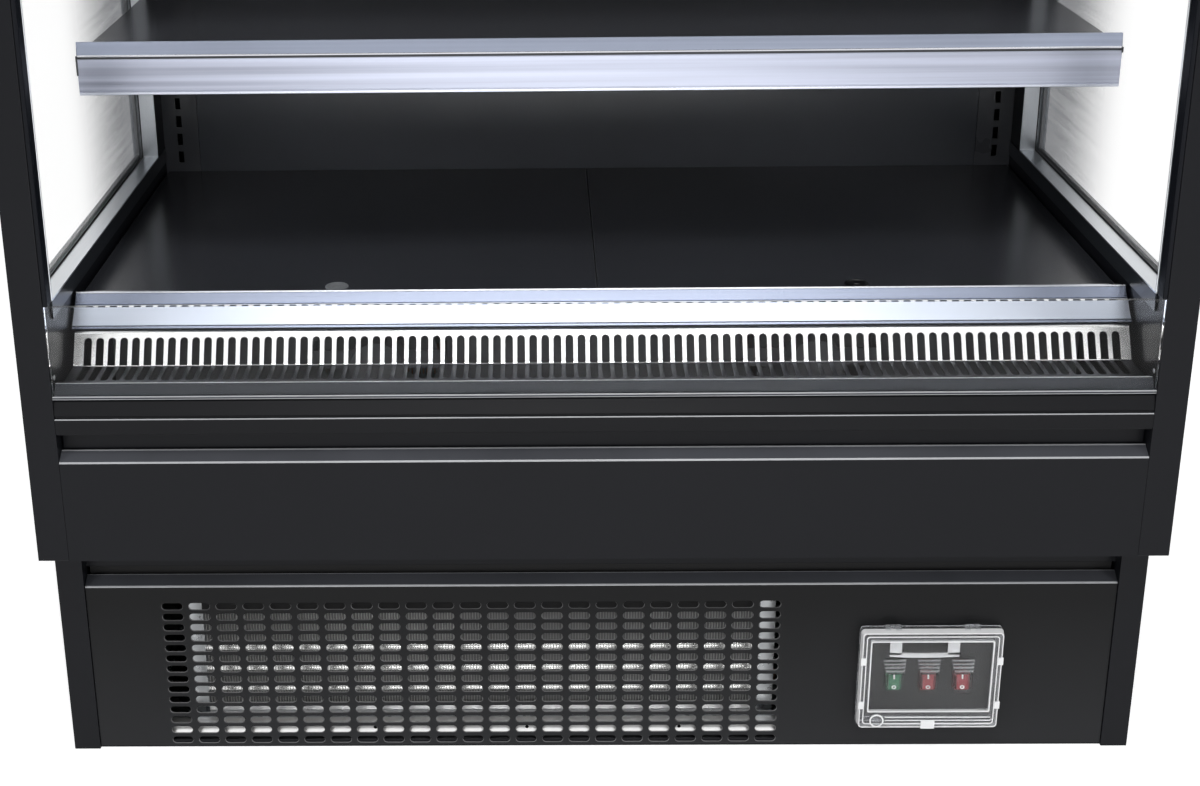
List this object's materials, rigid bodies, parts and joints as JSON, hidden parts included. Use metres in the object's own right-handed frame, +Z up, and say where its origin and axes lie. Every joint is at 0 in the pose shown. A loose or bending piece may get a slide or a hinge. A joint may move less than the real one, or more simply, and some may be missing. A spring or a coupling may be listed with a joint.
{
  "type": "open multideck display fridge",
  "caption": "Free-standing open-front multideck chiller with glazed sides, shelves on slotted uprights, ticket rails, a front guard, return-air grille and slotted kick panel.",
  "frame": {"origin": "middle of the footprint on the floor, under the centre of the overall box", "axes": "+X to the right seen from the front, +Y from the open front to the back, +Z up; the open front faces -Y"},
  "size_m": [1.1, 0.7, 1.98],
  "materials": {
    "black_steel": "satin",
    "galvanised": "satin",
    "foot_rubber": "matte",
    "clear_plastic": "gloss",
    "green_plastic": "gloss",
    "red_plastic": "gloss",
    "fin_metal": "satin",
    "black_enamel": "gloss",
    "grey_plastic": "matte",
    "foamed_panel": "satin",
    "bright_aluminium": "satin",
    "dark_aluminium": "satin",
    "window_glass": "gloss",
    "black_plastic": "satin",
    "stainless": "satin",
    "lamp_diffuser": "satin"
  },
  "bodies": {
    "cabinet": {"base_frame": "black_steel", "base_rear_panel": "black_steel", "side_panel_left": "black_steel", "side_panel_right": "black_steel", "upright_left": "black_steel", "upright_right": "black_steel", "back_panel": "black_steel", "front_panel": "black_steel", "canopy_fascia": "black_steel", "ceiling_panel": "black_steel", "base_tray": "galvanised", "control_box": "galvanised", "evaporator_fan_plate": "galvanised", "guard_glass": "clear_plastic", "condenser_coil": "fin_metal", "evaporator_coil": "fin_metal", "condenser_fan_shroud": "black_enamel", "compressor": "black_enamel", "evaporation_tray": "grey_plastic", "body_floor": "foamed_panel", "body_back": "foamed_panel", "body_front_wall": "foamed_panel", "body_roof": "foamed_panel", "window_trim_left": "bright_aluminium", "window_trim_right": "bright_aluminium", "deck_rail": "bright_aluminium", "guard_rail": "dark_aluminium", "inner_pane_left": "window_glass", "inner_pane_right": "window_glass", "outer_pane_left": "window_glass", "outer_pane_right": "window_glass", "bumper": "black_plastic", "lamp": "lamp_diffuser"},
    "kick_panel": {"kick_panel": "black_steel", "switch_box_base": "clear_plastic", "rocker_cap_green": "clear_plastic", "rocker_cap_red_middle": "clear_plastic", "rocker_cap_red_right": "clear_plastic"},
    "switch_box_lid": {"switch_box_lid": "clear_plastic"},
    "condenser_fan": {"condenser_fan_rotor": "black_enamel"},
    "evaporator_fan_left": {"evaporator_fan_rotor_left": "black_plastic"},
    "evaporator_fan_right": {"evaporator_fan_rotor_right": "black_plastic"},
    "deck_pan_left": {"deck_pan_left": "black_steel"},
    "deck_pan_right": {"deck_pan_right": "black_steel"},
    "return_grille": {"return_grille": "stainless"},
    "rocker_green": {"rocker_green": "green_plastic"},
    "rocker_red_middle": {"rocker_red_middle": "red_plastic"},
    "rocker_red_right": {"rocker_red_right": "red_plastic"},
    "foot_front_left": {"levelling_foot_front_left": "foot_rubber"},
    "foot_front_right": {"levelling_foot_front_right": "foot_rubber"},
    "foot_rear_left": {"levelling_foot_rear_left": "foot_rubber"},
    "foot_rear_right": {"levelling_foot_rear_right": "foot_rubber"},
    "shelf_1": {"shelf_1": "black_steel", "shelf_rail_1": "bright_aluminium"},
    "shelf_2": {"shelf_2": "black_steel", "shelf_rail_2": "bright_aluminium"},
    "shelf_3": {"shelf_3": "black_steel", "shelf_rail_3": "bright_aluminium"},
    "shelf_4": {"shelf_4": "black_steel", "shelf_rail_4": "bright_aluminium"}
  },
  "joints": [
    {"name": "kick_panel_slide", "type": "slide", "parent": "cabinet", "child": "kick_panel", "axis": [0, -1, 0], "range_m": [0, 0.16]},
    {"name": "switch_box_lid_hinge", "type": "hinge", "parent": "kick_panel", "child": "switch_box_lid", "pos_m": [0.3375, -0.3063, 0.1452], "axis": [-1, 0, 0], "range_deg": [0, 110]},
    {"name": "rocker_green_tilt", "type": "hinge", "parent": "kick_panel", "child": "rocker_green", "pos_m": [0.3026, -0.2998, 0.079], "axis": [1, 0, 0], "range_deg": [0, 20]},
    {"name": "rocker_red_middle_tilt", "type": "hinge", "parent": "kick_panel", "child": "rocker_red_middle", "pos_m": [0.3375, -0.2998, 0.079], "axis": [1, 0, 0], "range_deg": [0, 20]},
    {"name": "rocker_red_right_tilt", "type": "hinge", "parent": "kick_panel", "child": "rocker_red_right", "pos_m": [0.3724, -0.2998, 0.079], "axis": [1, 0, 0], "range_deg": [0, 20]},
    {"name": "condenser_fan_spin", "type": "hinge", "parent": "cabinet", "child": "condenser_fan", "pos_m": [-0.12158, -0.1897, 0.1099], "axis": [0, 1, 0], "continuous": true},
    {"name": "evaporator_fan_left_spin", "type": "hinge", "parent": "cabinet", "child": "evaporator_fan_left", "pos_m": [-0.23, -0.111, 0.3708], "axis": [0, 1, 0], "continuous": true},
    {"name": "evaporator_fan_right_spin", "type": "hinge", "parent": "cabinet", "child": "evaporator_fan_right", "pos_m": [0.23, -0.111, 0.3708], "axis": [0, 1, 0], "continuous": true},
    {"name": "deck_pan_left_lift", "type": "slide", "parent": "cabinet", "child": "deck_pan_left", "axis": [0, 0, 1], "range_m": [0, 0.15]},
    {"name": "deck_pan_right_lift", "type": "slide", "parent": "cabinet", "child": "deck_pan_right", "axis": [0, 0, 1], "range_m": [0, 0.15]},
    {"name": "return_grille_lift", "type": "slide", "parent": "cabinet", "child": "return_grille", "axis": [0, 0, 1], "range_m": [0, 0.12]},
    {"name": "shelf_1_pull", "type": "slide", "parent": "cabinet", "child": "shelf_1", "axis": [0, -1, 0], "range_m": [0, 0.45]},
    {"name": "shelf_2_pull", "type": "slide", "parent": "cabinet", "child": "shelf_2", "axis": [0, -1, 0], "range_m": [0, 0.45]},
    {"name": "shelf_3_pull", "type": "slide", "parent": "cabinet", "child": "shelf_3", "axis": [0, -1, 0], "range_m": [0, 0.45]},
    {"name": "shelf_4_pull", "type": "slide", "parent": "cabinet", "child": "shelf_4", "axis": [0, -1, 0], "range_m": [0, 0.45]},
    {"name": "foot_front_left_height", "type": "slide", "parent": "cabinet", "child": "foot_front_left", "axis": [0, 0, -1], "range_m": [0, 0.015]},
    {"name": "foot_front_right_height", "type": "slide", "parent": "cabinet", "child": "foot_front_right", "axis": [0, 0, -1], "range_m": [0, 0.015]},
    {"name": "foot_rear_left_height", "type": "slide", "parent": "cabinet", "child": "foot_rear_left", "axis": [0, 0, -1], "range_m": [0, 0.015]},
    {"name": "foot_rear_right_height", "type": "slide", "parent": "cabinet", "child": "foot_rear_right", "axis": [0, 0, -1], "range_m": [0, 0.015]}
  ]
}
